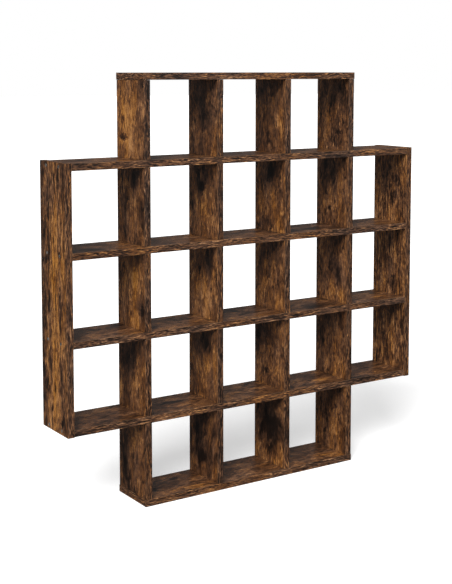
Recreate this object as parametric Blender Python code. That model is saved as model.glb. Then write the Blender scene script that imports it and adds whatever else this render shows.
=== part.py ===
"""Stepped cube storage unit: a five-by-five grid of open cubes without its four corner cubes.

The unit stands on its bottom board with X to the right, -Y to the front and +Z up.
The origin is on the floor, under the middle of the bottom board.
Two tall side panels hold the four long shelf boards between them. Short dividers stand
between the boards, and a short board closes the middle three bays at the top and at the bottom.
"""

import math

import bmesh
import bpy
from mathutils import Matrix, Vector

# Boards
CELL = 0.280  # clear width and height of one cube
BOARD = 0.025  # thickness of every board
DEPTH = 0.200  # front edge to rear edge
BAYS = 5  # cubes across, and cubes up
PROUD = 0.002  # how far a covering board or panel runs past what it covers
EDGE = 0.0008  # bevel along every edge
GAP = 0.0003  # clearance between pieces that touch
PITCH = CELL + BOARD
WIDTH = BAYS * PITCH + BOARD
HEIGHT = BAYS * PITCH + BOARD

# One-piece connector screws that hold the boards
SCREW_LENGTH = 0.050
SHANK_RADIUS = 0.0035
HEAD_RADIUS = 0.006
HEAD_HEIGHT = 0.002
NECK_HEIGHT = 0.0025  # cone between the head and the shank
TIP_HEIGHT = 0.003
TIP_RADIUS = 0.0015
SOCKET_FLATS = 0.004  # across the flats of the hexagon socket
SOCKET_DEPTH = 0.0025
SCREW_INSET = 0.050  # from the front edge and from the rear edge
ROUND_SIDES = 12  # sides of a turned piece and of its hole
HEXAGON_SIDES = 6

# Wall plates, one on the rear edge of each side panel
PLATE_WIDTH = 0.020
PLATE_HEIGHT = 0.055
PLATE_THICKNESS = 0.002
PLATE_CORNER = 0.003
PLATE_RISE = 0.102  # middle of the plate above the panel's lower end
PLATE_SCREW_OFFSET = 0.021  # screw from the middle of the plate
PLATE_SCREW_LENGTH = 0.020
PLATE_SCREW_RADIUS = 0.0018
PLATE_SCREW_HEAD = 0.0036
KEYHOLE_RADIUS = 0.0050  # round entry for a screw head
KEYHOLE_SLOT = 0.0025  # half width of the slot above the entry
KEYHOLE_LOW = -0.006  # centre of the entry, from the middle of the plate
KEYHOLE_HIGH = 0.007  # centre of the slot's round end
POCKET_RADIUS = 0.0062  # half width of the pocket in the panel's edge
POCKET_DEPTH = 0.012
ARC_STEPS = 8  # straight pieces in a half circle of an outline

QUARTER_TURN = math.pi / 2
FACING = {  # turns that point a screw's head along the named direction
    "left": Matrix.Rotation(-QUARTER_TURN, 4, "Y"),
    "right": Matrix.Rotation(QUARTER_TURN, 4, "Y"),
    "up": Matrix.Identity(4),
    "down": Matrix.Rotation(math.pi, 4, "Y"),
    "rear": Matrix.Rotation(-QUARTER_TURN, 4, "X"),
}


def clear_scene():
    """Removes what is in the scene, so that the unit is all that it holds."""
    for thing in list(bpy.data.objects):
        bpy.data.objects.remove(thing, do_unlink=True)


def finish(name, colour, roughness, metallic):
    """One plain Principled material."""
    material = bpy.data.materials.new(name)
    material.use_nodes = True
    shader = material.node_tree.nodes["Principled BSDF"]
    shader.inputs["Base Color"].default_value = (*colour, 1.0)
    shader.inputs["Roughness"].default_value = roughness
    shader.inputs["Metallic"].default_value = metallic
    return material


def add_object(name, mesh, material=None):
    """Links a mesh as an object. With no material it is a cutter, which isn't part of the unit."""
    thing = bpy.data.objects.new(name, mesh)
    bpy.context.collection.objects.link(thing)
    if material is None:
        thing.hide_render = True
        thing.display_type = "WIRE"
    else:
        mesh.materials.clear()
        mesh.materials.append(material)
    return thing


def mesh_from(shape, name):
    """Turns a bmesh into a mesh whose faces point outwards."""
    bmesh.ops.recalc_face_normals(shape, faces=shape.faces)
    mesh = bpy.data.meshes.new(name)
    shape.to_mesh(mesh)
    shape.free()
    return mesh


def cut(thing, cutter):
    """Takes a cutter's shape out of a piece."""
    boolean = thing.modifiers.new("cut_" + cutter.name, "BOOLEAN")
    boolean.operation = "DIFFERENCE"
    boolean.solver = "EXACT"
    boolean.object = cutter


# ---- Boards -------------------------------------------------------------------------------


def board(name, low, high, material, cutters=()):
    """A board between two corners, with bevelled edges and the holes of its screws."""
    low, high = Vector(low), Vector(high)
    shape = bmesh.new()
    bmesh.ops.create_cube(shape, size=1.0)
    bmesh.ops.scale(shape, vec=high - low, verts=shape.verts)
    thing = add_object(name, mesh_from(shape, name), material)
    thing.location = (low + high) / 2
    bevel = thing.modifiers.new("edge", "BEVEL")
    bevel.width = EDGE
    bevel.segments = 1
    for cutter in cutters:
        cut(thing, cutter)
    return thing


def line_x(i):
    """Middle of the i-th upright line, where 0 is the left side panel and BAYS the right one."""
    return (i - BAYS / 2) * PITCH


def line_z(k):
    """Underside of the k-th board from the floor."""
    return k * PITCH


def add_side_panels(material, cutters):
    """The two tall outer panels, three cubes high, which cover the ends of the long boards."""
    low, high = line_z(1) - PROUD, line_z(BAYS - 1) + BOARD + PROUD
    for side, i in (("left", 0), ("right", BAYS)):
        x = line_x(i)
        corners = (x - BOARD / 2, -DEPTH / 2, low), (x + BOARD / 2, DEPTH / 2, high)
        board(f"side_panel_{side}", *corners, material, cutters[side])


def add_shelf_boards(material, cutters):
    """The four long boards between the side panels."""
    reach = WIDTH / 2 - BOARD - GAP
    for k in range(1, BAYS):
        corners = (-reach, -DEPTH / 2, line_z(k)), (reach, DEPTH / 2, line_z(k) + BOARD)
        board(f"shelf_board_{k}", *corners, material, cutters)


def add_short_boards(material, cutters):
    """The bottom board and the top board, over the middle three bays."""
    reach = line_x(BAYS - 1) + BOARD / 2 + PROUD
    for name, k in (("bottom_board", 0), ("top_board", BAYS)):
        corners = (-reach, -DEPTH / 2, line_z(k)), (reach, DEPTH / 2, line_z(k) + BOARD)
        board(name, *corners, material, [cutters[name]])


def add_dividers(material, cutters):
    """Four uprights in each of the five rows, standing between two boards."""
    holes = {1: [cutters["bottom_board"]], BAYS: [cutters["top_board"]]}
    for row in range(1, BAYS + 1):
        low, high = line_z(row - 1) + BOARD + GAP, line_z(row) - GAP
        for i in range(1, BAYS):
            x = line_x(i)
            corners = (x - BOARD / 2, -DEPTH / 2, low), (x + BOARD / 2, DEPTH / 2, high)
            board(f"divider_row{row}_{i}", *corners, material, holes.get(row, ()))


# ---- Screws and their holes ---------------------------------------------------------------


def ring(radius, depth):
    """A round ring of points, depth below the head's face."""
    angles = [2 * math.pi * n / ROUND_SIDES for n in range(ROUND_SIDES)]
    return [Vector((radius * math.cos(a), radius * math.sin(a), -depth)) for a in angles]


def hexagon(flats, depth):
    """A hexagon with as many points as a round ring, so that the two can be bridged."""
    sector = 2 * math.pi / HEXAGON_SIDES
    points = []
    for n in range(ROUND_SIDES):
        a = 2 * math.pi * n / ROUND_SIDES
        radius = flats / 2 / math.cos(a % sector - sector / 2)
        points.append(Vector((radius * math.cos(a), radius * math.sin(a), -depth)))
    return points


def add_rings(shape, rings, place):
    """Joins rings of points into one closed turned body, and puts it in its place."""
    loops = [[shape.verts.new(place @ point) for point in points] for points in rings]
    for one, two in zip(loops, loops[1:]):
        for n in range(ROUND_SIDES):
            m = (n + 1) % ROUND_SIDES
            shape.faces.new((one[n], one[m], two[m], two[n]))
    shape.faces.new(loops[0])
    shape.faces.new(loops[-1])


def connector_rings():
    """A connector screw: hexagon socket, flat head, short cone, shank and blunt tip."""
    neck = HEAD_HEIGHT + NECK_HEIGHT
    return [
        hexagon(SOCKET_FLATS, SOCKET_DEPTH),
        hexagon(SOCKET_FLATS, 0.0),
        ring(HEAD_RADIUS, 0.0),
        ring(HEAD_RADIUS, HEAD_HEIGHT),
        ring(SHANK_RADIUS, neck),
        ring(SHANK_RADIUS, SCREW_LENGTH - TIP_HEIGHT),
        ring(TIP_RADIUS, SCREW_LENGTH),
    ]


def connector_hole_rings():
    """The stepped hole of a connector screw, from just outside the board's face."""
    neck = HEAD_HEIGHT + NECK_HEIGHT
    return [
        ring(HEAD_RADIUS + GAP, -GAP * 2),
        ring(HEAD_RADIUS + GAP, HEAD_HEIGHT + GAP),
        ring(SHANK_RADIUS + GAP, neck + GAP),
        ring(SHANK_RADIUS + GAP, SCREW_LENGTH + GAP * 2),
    ]


def plate_screw_rings():
    """A small countersunk screw that holds a wall plate."""
    return [
        ring(PLATE_SCREW_HEAD, 0.0),
        ring(PLATE_SCREW_RADIUS, PLATE_THICKNESS),
        ring(PLATE_SCREW_RADIUS, PLATE_SCREW_LENGTH - PLATE_SCREW_RADIUS),
        ring(PLATE_SCREW_RADIUS / 3, PLATE_SCREW_LENGTH),
    ]


def plate_screw_hole_rings():
    """The countersunk hole of a plate screw, through the plate and into the panel."""
    return [
        ring(PLATE_SCREW_HEAD + GAP * 2, -GAP),
        ring(PLATE_SCREW_RADIUS + GAP, PLATE_THICKNESS),
        ring(PLATE_SCREW_RADIUS + GAP, PLATE_SCREW_LENGTH + GAP * 2),
    ]


def hole_cutter(name, rings, places):
    """One cutter that holds the same hole at several places."""
    shape = bmesh.new()
    for place in places:
        add_rings(shape, rings, place)
    return add_object(name, mesh_from(shape, name))


def screw_mesh(name, rings):
    """The mesh that the screws of one kind share, turned and therefore shaded smooth."""
    shape = bmesh.new()
    add_rings(shape, rings, Matrix.Identity(4))
    mesh = mesh_from(shape, name)
    mesh.shade_smooth()
    mesh.set_sharp_from_angle(angle=math.radians(35))
    return mesh


def side_screw_places(side):
    """Where the screws go through one side panel into the ends of the long boards."""
    sign = -1 if side == "left" else 1
    places = {}
    for k in range(1, BAYS):
        for end, y in (("front", SCREW_INSET - DEPTH / 2), ("rear", DEPTH / 2 - SCREW_INSET)):
            spot = Vector((sign * WIDTH / 2, y, line_z(k) + BOARD / 2))
            places[f"side_screw_{side}_{k}_{end}"] = Matrix.Translation(spot) @ FACING[side]
    return places


def short_board_screw_places(word, z, facing):
    """Where the screws go through the top or bottom board into the ends of the dividers."""
    places = {}
    for i in range(1, BAYS):
        spot = Vector((line_x(i), 0.0, z))
        places[f"{word}_screw_{i}"] = Matrix.Translation(spot) @ FACING[facing]
    return places


def add_screws(mesh, places, material):
    """Puts a copy of a screw at each place."""
    for name, place in places.items():
        screw = add_object(name, mesh, material)
        screw.matrix_world = place


# ---- Wall plates --------------------------------------------------------------------------


def arc(centre_x, centre_z, radius, start, end):
    """Points of an arc from one angle to another, in the plane of the plate."""
    steps = max(1, round(ARC_STEPS * abs(end - start) / math.pi))
    angles = [start + (end - start) * n / steps for n in range(steps + 1)]
    return [(centre_x + radius * math.cos(a), centre_z + radius * math.sin(a)) for a in angles]


def plate_outline():
    """A rectangle with rounded corners."""
    x, z = PLATE_WIDTH / 2 - PLATE_CORNER, PLATE_HEIGHT / 2 - PLATE_CORNER
    corners = ((x, z), (-x, z), (-x, -z), (x, -z))
    points = []
    for n, (corner_x, corner_z) in enumerate(corners):
        start = n * QUARTER_TURN
        points += arc(corner_x, corner_z, PLATE_CORNER, start, start + QUARTER_TURN)
    return points


def keyhole_outline():
    """A slot with a round upper end that opens into a round entry below it."""
    meet = math.asin(KEYHOLE_SLOT / KEYHOLE_RADIUS)
    start, end = QUARTER_TURN + meet, QUARTER_TURN - meet + 2 * math.pi
    slot_end = arc(0.0, KEYHOLE_HIGH, KEYHOLE_SLOT, 0.0, math.pi)
    return slot_end + arc(0.0, KEYHOLE_LOW, KEYHOLE_RADIUS, start, end)


def pocket_outline():
    """The pocket behind the keyhole: a slot with two round ends."""
    upper = arc(0.0, KEYHOLE_HIGH, POCKET_RADIUS, 0.0, math.pi)
    return upper + arc(0.0, KEYHOLE_LOW, POCKET_RADIUS, math.pi, 2 * math.pi)


def prism(shape, outline, middle, y_low, y_high):
    """A closed prism with an outline in X and Z, between two depths."""
    loops = []
    for y in (y_low, y_high):
        loops.append([shape.verts.new((middle.x + x, y, middle.z + z)) for x, z in outline])
    front, rear = loops
    for n in range(len(outline)):
        m = (n + 1) % len(outline)
        shape.faces.new((front[n], front[m], rear[m], rear[n]))
    shape.faces.new(front)
    shape.faces.new(rear)


def prism_object(name, outline, middle, depths, material=None):
    """A prism as an object of its own."""
    shape = bmesh.new()
    prism(shape, outline, middle, *depths)
    return add_object(name, mesh_from(shape, name), material)


def plate_middle(side):
    """Middle of a wall plate's rear face."""
    i = 0 if side == "left" else BAYS
    z = line_z(1) - PROUD + PLATE_RISE
    return Vector((line_x(i), DEPTH / 2 + GAP + PLATE_THICKNESS, z))


def plate_screw_places(side):
    """Where the two screws of a plate go in, one below the keyhole and one above it."""
    places = {}
    for end, offset in (("lower", -PLATE_SCREW_OFFSET), ("upper", PLATE_SCREW_OFFSET)):
        spot = plate_middle(side) + Vector((0.0, 0.0, offset))
        places[f"plate_screw_{side}_{end}"] = Matrix.Translation(spot) @ FACING["rear"]
    return places


def pocket_cutter(side):
    """The cutter of the pocket in a side panel's rear edge."""
    depths = (DEPTH / 2 - POCKET_DEPTH, DEPTH / 2 + PLATE_THICKNESS)
    return prism_object(f"pocket_{side}", pocket_outline(), plate_middle(side), depths)


def add_wall_plate(side, material, screw_cutter):
    """A plate with a keyhole, flat on the rear edge of a side panel."""
    middle = plate_middle(side)
    past = PLATE_THICKNESS / 2
    faces = (middle.y - PLATE_THICKNESS, middle.y)
    plate = prism_object(f"wall_plate_{side}", plate_outline(), middle, faces, material)
    depths = (faces[0] - past, faces[1] + past)
    cut(plate, prism_object(f"keyhole_{side}", keyhole_outline(), middle, depths))
    cut(plate, screw_cutter)


def build():
    """Makes the cutters first, then the boards that they cut, then the metal pieces."""
    clear_scene()
    oak_side = finish("smoked_oak_side", (0.150, 0.085, 0.040), 0.48, 0.0)
    oak_long = finish("smoked_oak_shelf", (0.085, 0.048, 0.026), 0.40, 0.0)
    oak_short = finish("smoked_oak_divider", (0.110, 0.058, 0.027), 0.45, 0.0)
    screw_steel = finish("zinc_plated_screw", (0.42, 0.42, 0.45), 0.38, 1.0)
    plate_steel = finish("zinc_plated_plate", (0.50, 0.50, 0.52), 0.42, 1.0)

    connector = screw_mesh("connector_screw", connector_rings())
    plate_screw = screw_mesh("plate_screw", plate_screw_rings())
    short_places = {
        "bottom_board": short_board_screw_places("bottom", 0.0, "down"),
        "top_board": short_board_screw_places("top", HEIGHT, "up"),
    }
    short_cutters = {}
    for name, places in short_places.items():
        rings = connector_hole_rings()
        short_cutters[name] = hole_cutter("holes_" + name, rings, places.values())
        add_screws(connector, places, screw_steel)

    panel_cutters, end_cutters = {}, []
    for side in ("left", "right"):
        places = side_screw_places(side)
        ends = hole_cutter("holes_" + side, connector_hole_rings(), places.values())
        fixings = plate_screw_places(side)
        small = hole_cutter("plate_holes_" + side, plate_screw_hole_rings(), fixings.values())
        panel_cutters[side] = [ends, small, pocket_cutter(side)]
        end_cutters.append(ends)
        add_screws(connector, places, screw_steel)
        add_screws(plate_screw, fixings, plate_steel)
        add_wall_plate(side, plate_steel, small)

    add_side_panels(oak_side, panel_cutters)
    add_shelf_boards(oak_long, end_cutters)
    add_short_boards(oak_long, short_cutters)
    add_dividers(oak_short, short_cutters)


build()
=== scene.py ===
# %% [markdown]
# # A stepped cube storage unit in smoked oak
# The unit is 28 boards, screwed together with one-piece connector screws, with a small
# keyhole plate on the rear edge of each tall side panel. The CAD frame already says where
# every piece is and how big it is. This lesson gives each piece the surface of the real
# one: edge-banded boards with a printed wood foil, and zinc-plated steel.
# Everything is in metres, X to the right, -Y to the front and Z up.

import math

import bmesh
import bpy
import numpy as np
from mathutils import Matrix, Vector


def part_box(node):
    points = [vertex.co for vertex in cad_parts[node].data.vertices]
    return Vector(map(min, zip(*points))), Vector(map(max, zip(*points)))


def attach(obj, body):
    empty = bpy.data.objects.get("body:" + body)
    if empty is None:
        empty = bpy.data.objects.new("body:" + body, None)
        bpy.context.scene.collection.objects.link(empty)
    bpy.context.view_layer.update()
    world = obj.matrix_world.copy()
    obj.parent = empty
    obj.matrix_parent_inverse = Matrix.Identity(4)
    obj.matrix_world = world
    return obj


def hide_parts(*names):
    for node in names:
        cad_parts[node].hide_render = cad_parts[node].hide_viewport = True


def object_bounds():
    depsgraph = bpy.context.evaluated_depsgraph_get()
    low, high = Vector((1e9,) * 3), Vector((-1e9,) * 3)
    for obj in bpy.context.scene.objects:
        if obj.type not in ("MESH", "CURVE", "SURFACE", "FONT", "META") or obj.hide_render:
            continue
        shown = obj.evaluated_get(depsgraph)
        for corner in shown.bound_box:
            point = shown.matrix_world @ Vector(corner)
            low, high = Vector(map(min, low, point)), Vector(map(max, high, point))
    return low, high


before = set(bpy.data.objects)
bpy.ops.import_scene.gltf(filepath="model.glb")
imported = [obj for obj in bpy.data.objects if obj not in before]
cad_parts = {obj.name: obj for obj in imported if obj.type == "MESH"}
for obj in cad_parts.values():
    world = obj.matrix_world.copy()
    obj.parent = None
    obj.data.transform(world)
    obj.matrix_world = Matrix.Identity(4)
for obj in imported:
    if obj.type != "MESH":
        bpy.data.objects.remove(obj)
CAD_LOW, CAD_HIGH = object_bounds()
MIDDLE = (CAD_LOW + CAD_HIGH) / 2
BOARDS = [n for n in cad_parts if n.startswith(("side", "shelf", "top_b", "bottom_b", "div"))]
BOARDS = sorted(n for n in BOARDS if "screw" not in n)
SIDE_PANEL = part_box("side_panel_left")
THICKNESS = SIDE_PANEL[1].x - SIDE_PANEL[0].x
print(len(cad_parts), "nodes,", len(BOARDS), "boards of", round(THICKNESS, 4), "m")

# %% [markdown]
# ## Camera, floor and light
# The camera comes first, because every choice after it is judged through it. It stands a
# little left of the unit and as high as its top, and its lens is shifted down, as a view
# camera's is, so that the uprights stay nearly parallel. The room is a plain pale floor
# under a pale sky, with one wide soft lamp at the front left, and weak ones at the front
# and behind.
# A studio keeps its surroundings dark, and lights its background on its own, because a
# satin foil that mirrors a white room turns grey. Light Path does the same here: the
# camera sees a pale room, and a reflection or a bounce of light meets a dimmer one.

# %% Camera
CAMERA_PLACE = (-2.504, -3.702, 1.558)
CAMERA_TURN = math.radians(33.40)  # to the right of straight ahead
CAMERA_DROP = math.radians(5.05)  # below the horizon
LENS = 73.16
LENS_SHIFT = -0.20

view = bpy.data.cameras.new("view")
view.lens = LENS
view.shift_y = LENS_SHIFT
camera = bpy.data.objects.new("camera", view)
camera.location = CAMERA_PLACE
camera.rotation_euler = (math.pi / 2 - CAMERA_DROP, 0.0, -CAMERA_TURN)
bpy.context.scene.collection.objects.link(camera)
bpy.context.scene.camera = camera
bpy.context.scene.view_settings.view_transform = "Standard"
print("camera at", CAMERA_PLACE, "with a", LENS, "mm lens")

# %% Floor, sky and lamps
FLOOR_REACH = 60.0
# What the camera, a reflection and a bounce of light meet, in that order.
FLOOR_SHADES = (0.90, 0.04, 0.35)
FLOOR_GLOW = (0.30, 0.0, 0.0)  # thins the shadow on the floor, and lights nothing
SKY_SHADES = (1.0, 0.11, 0.38)
KEY_FROM = (-0.68, -0.57, 0.72)
KEY_STRENGTH = 3.9
KEY_WIDTH = math.radians(34.0)
FILL_FROM = (0.35, -0.85, 0.30)
FILL_STRENGTH = 0.5
FILL_WIDTH = math.radians(80.0)
BACK_FROM = (0.45, 0.85, 0.40)
BACK_STRENGTH = 0.5
BACK_WIDTH = math.radians(70.0)


def shade_by_ray(tree, shades, target):
    """Links one of three values, by the kind of ray that asks, to a target socket."""
    rays = tree.nodes.new("ShaderNodeLightPath").outputs
    value = shades[2]
    for kind, shade in (("Is Glossy Ray", shades[1]), ("Is Camera Ray", shades[0])):
        mix = tree.nodes.new("ShaderNodeMapRange")
        tree.links.new(rays[kind], mix.inputs["Value"])
        if isinstance(value, float):
            mix.inputs["To Min"].default_value = value
        else:
            tree.links.new(value, mix.inputs["To Min"])
        mix.inputs["To Max"].default_value = shade
        value = mix.outputs[0]
    tree.links.new(value, target)


def soft_sun(name, comes_from, strength, width, mirrored=True):
    """A lamp as wide in the sky as the given angle, shining the same everywhere. One that
    isn't mirrored gives light but no gleam on the satin foil."""
    light = bpy.data.lights.new(name, "SUN")
    light.energy = strength
    light.angle = width
    thing = bpy.data.objects.new(name, light)
    thing.rotation_euler = Vector(comes_from).to_track_quat("Z", "Y").to_euler()
    thing.visible_glossy = mirrored
    bpy.context.scene.collection.objects.link(thing)


reach = FLOOR_REACH
floor_mesh = bpy.data.meshes.new("floor")
floor_corners = [(-reach, -reach), (reach, -reach), (reach, reach), (-reach, reach)]
floor_mesh.from_pydata([(x, y, CAD_LOW.z) for x, y in floor_corners], [], [(0, 1, 2, 3)])
floor = bpy.data.objects.new("floor", floor_mesh)
bpy.context.scene.collection.objects.link(floor)
floor_paint = bpy.data.materials.new("pale floor")
floor_paint.use_nodes = True
floor_shader = floor_paint.node_tree.nodes["Principled BSDF"]
shade_by_ray(floor_paint.node_tree, FLOOR_SHADES, floor_shader.inputs["Base Color"])
floor_shader.inputs["Emission Color"].default_value = (1.0, 1.0, 1.0, 1.0)
shade_by_ray(floor_paint.node_tree, FLOOR_GLOW, floor_shader.inputs["Emission Strength"])
floor_shader.inputs["Roughness"].default_value = 0.9
floor_shader.inputs["Specular IOR Level"].default_value = 0.0
floor_mesh.materials.append(floor_paint)

sky = bpy.data.worlds.new("sky")
sky.use_nodes = True
background = sky.node_tree.nodes["Background"]
background.inputs["Color"].default_value = (1.0, 1.0, 1.0, 1.0)
shade_by_ray(sky.node_tree, SKY_SHADES, background.inputs["Strength"])
bpy.context.scene.world = sky
soft_sun("key_lamp", KEY_FROM, KEY_STRENGTH, KEY_WIDTH)
soft_sun("fill_lamp", FILL_FROM, FILL_STRENGTH, FILL_WIDTH)
soft_sun("back_lamp", BACK_FROM, BACK_STRENGTH, BACK_WIDTH, mirrored=False)
print("floor at", round(CAD_LOW.z, 4), "and three soft lamps")

# %% [markdown]
# ## The surface of a board
# A board is chipboard with a printed foil on both wide faces and a 1 mm plastic band
# glued round its edges. A plain box would do for the shape, but not for what the eye
# looks for: the band's rounded arris, the hairline seam where band and foil meet, and a
# grid fine enough to carry the marks of the wood. So the surface is a section carried
# along the board's length. The section is a rectangle with round corners and two seams
# on each wide face, and at each end it draws in along a quarter circle.

# %% Section of a board
ARRIS = 0.0008  # radius of the rounded edges
BAND = 0.0010  # thickness of the edge band
SEAM = 0.0001  # depth and half width of the seam beside the band
GRID = 0.0125  # spacing of the surface's grid
SUPPORT = 0.0005  # a flat strip beside each round edge, which keeps the shading flat
CORNER_STEPS = 4
TOP, REAR, BOTTOM, FRONT, END = range(5)  # zones of the surface


def spread(low, high, step):
    """Even positions from low to high, at most a step apart."""
    return np.linspace(low, high, int(np.ceil((high - low) / step)) + 1)


def across_face(half):
    """Positions across a wide face, and how far each lies below it: a V at both seams."""
    seam = half - BAND
    inner = seam - SEAM - SUPPORT
    ends = np.array([-half + ARRIS, -seam - SEAM / 2, -seam, -seam + SEAM])
    places = np.concatenate([ends, spread(-inner, inner, GRID), -ends[::-1]])
    return places, np.where(np.isclose(np.abs(places), seam), SEAM, 0.0)


def across_edge(half):
    """Positions across a narrow edge, with a support strip beside each arris."""
    flat = half - ARRIS
    return np.concatenate([[-flat], spread(-flat + SUPPORT, flat - SUPPORT, GRID / 2), [flat]])


def section(half_depth, half_thick):
    """Rows of (core y, core n, direction y, direction n, dent, zone) round the board.
    A point is core + (arris - dent) * direction, so that the corners come out round."""
    y, dent = across_face(half_depth)
    n = across_edge(half_thick)
    corner_y, corner_n = half_depth - ARRIS, half_thick - ARRIS
    turn = np.linspace(0, math.pi / 2, CORNER_STEPS + 1)[1:-1]
    rows = []

    def side(core_y, core_n, toward, dents, zone):
        rows.append(np.column_stack(np.broadcast_arrays(core_y, core_n, *toward, dents, zone)))

    def corner(sign_y, sign_n, start, zone):
        a = start - turn
        side(sign_y * corner_y, sign_n * corner_n, (np.cos(a), np.sin(a)), 0.0, zone)

    side(y, corner_n, (0.0, 1.0), dent, TOP)
    corner(1, 1, math.pi / 2, REAR)
    side(corner_y, n[::-1], (1.0, 0.0), 0.0, REAR)
    corner(1, -1, 0.0, REAR)
    side(y[::-1], -corner_n, (0.0, -1.0), dent, BOTTOM)
    corner(-1, -1, -math.pi / 2, FRONT)
    side(-corner_y, n, (-1.0, 0.0), 0.0, FRONT)
    corner(-1, 1, math.pi, FRONT)
    return np.concatenate(rows)


print("section of", len(section(0.1, THICKNESS / 2)), "points")

# %% [markdown]
# The section is carried along the length. Each row of the grid has a place along the
# board and a share of the arris radius, which is 1 along the board and falls to 0 along
# a quarter circle at each end. All rows and all points are worked out at once, as one
# array. Each face of the grid then gets its texture coordinates in real metres, so that
# the print keeps its scale on a long shelf and on a short divider.

# %% Carry the section along the board
PRINT_SHIFT = {TOP: (0.0, 0.0), BOTTOM: (5.0, 1.3), FRONT: (11.0, 2.9), REAR: (17.0, 4.1),
               END: (23.0, 5.7)}


def along(half):
    """Places along the board and the share of the arris radius at each of them."""
    turn = np.linspace(0, math.pi / 2, CORNER_STEPS + 1)
    flat = half - ARRIS
    body = np.concatenate([[-flat], spread(-flat + SUPPORT, flat - SUPPORT, GRID), [flat]])
    low = -flat - ARRIS * np.sin(turn[:0:-1])
    place = np.concatenate([low, body, -low[::-1]])
    share = np.concatenate([np.cos(turn[:0:-1]), np.ones(len(body)), np.cos(turn[1:])])
    return place, share


def board_grid(half_length, half_depth, half_thick):
    """Points (length, depth, thickness) of the closed surface, as rows by section points:
    core + share * (arris - dent) * direction."""
    sec = section(half_depth, half_thick)
    place, share = along(half_length)
    radius = share[:, None] * (ARRIS - sec[None, :, 4])
    grid = np.empty((len(place), len(sec), 3))
    grid[..., 0] = place[:, None]
    grid[..., 1] = sec[:, 0] + radius * sec[:, 2]
    grid[..., 2] = sec[:, 1] + radius * sec[:, 3]
    return grid, sec, share


def grid_faces(rows, columns):
    """Corner numbers of every square of a grid that closes round its columns."""
    i, j = np.meshgrid(np.arange(rows - 1), np.arange(columns), indexing="ij")
    k = (j + 1) % columns
    corners = np.stack([i * columns + j, i * columns + k, (i + 1) * columns + k,
                        (i + 1) * columns + j], axis=-1)
    return corners.reshape(-1, 4), i.ravel(), j.ravel()


def end_caps(rows, columns):
    """The corner numbers of the two faces that close the ends of the grid."""
    return [list(range(columns)), list(range((rows - 1) * columns, rows * columns))]


def face_zones(sec, share, i, j):
    """The zone of each square. Between the seam and the arris the foil gives way to the
    band, and the rounded ends are a zone of their own."""
    k = (j + 1) % len(sec)
    zone = np.where(sec[j, 5] == sec[k, 5], sec[j, 5], np.maximum(sec[j, 5], sec[k, 5]))
    seam = np.abs(sec[:, 0]).max() + ARRIS - BAND
    beyond = np.maximum(np.abs(sec[j, 0]), np.abs(sec[k, 0])) > seam + SEAM / 4
    wide = (zone == TOP) | (zone == BOTTOM)
    edge = np.where(sec[j, 0] + sec[k, 0] > 0, REAR, FRONT)
    zone = np.where(wide & beyond, edge, zone)
    return np.where((share[i] < 1) | (share[i + 1] < 1), END, zone).astype(int)


print("grid of a divider:", board_grid(0.14, 0.1, THICKNESS / 2)[0].shape)
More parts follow.
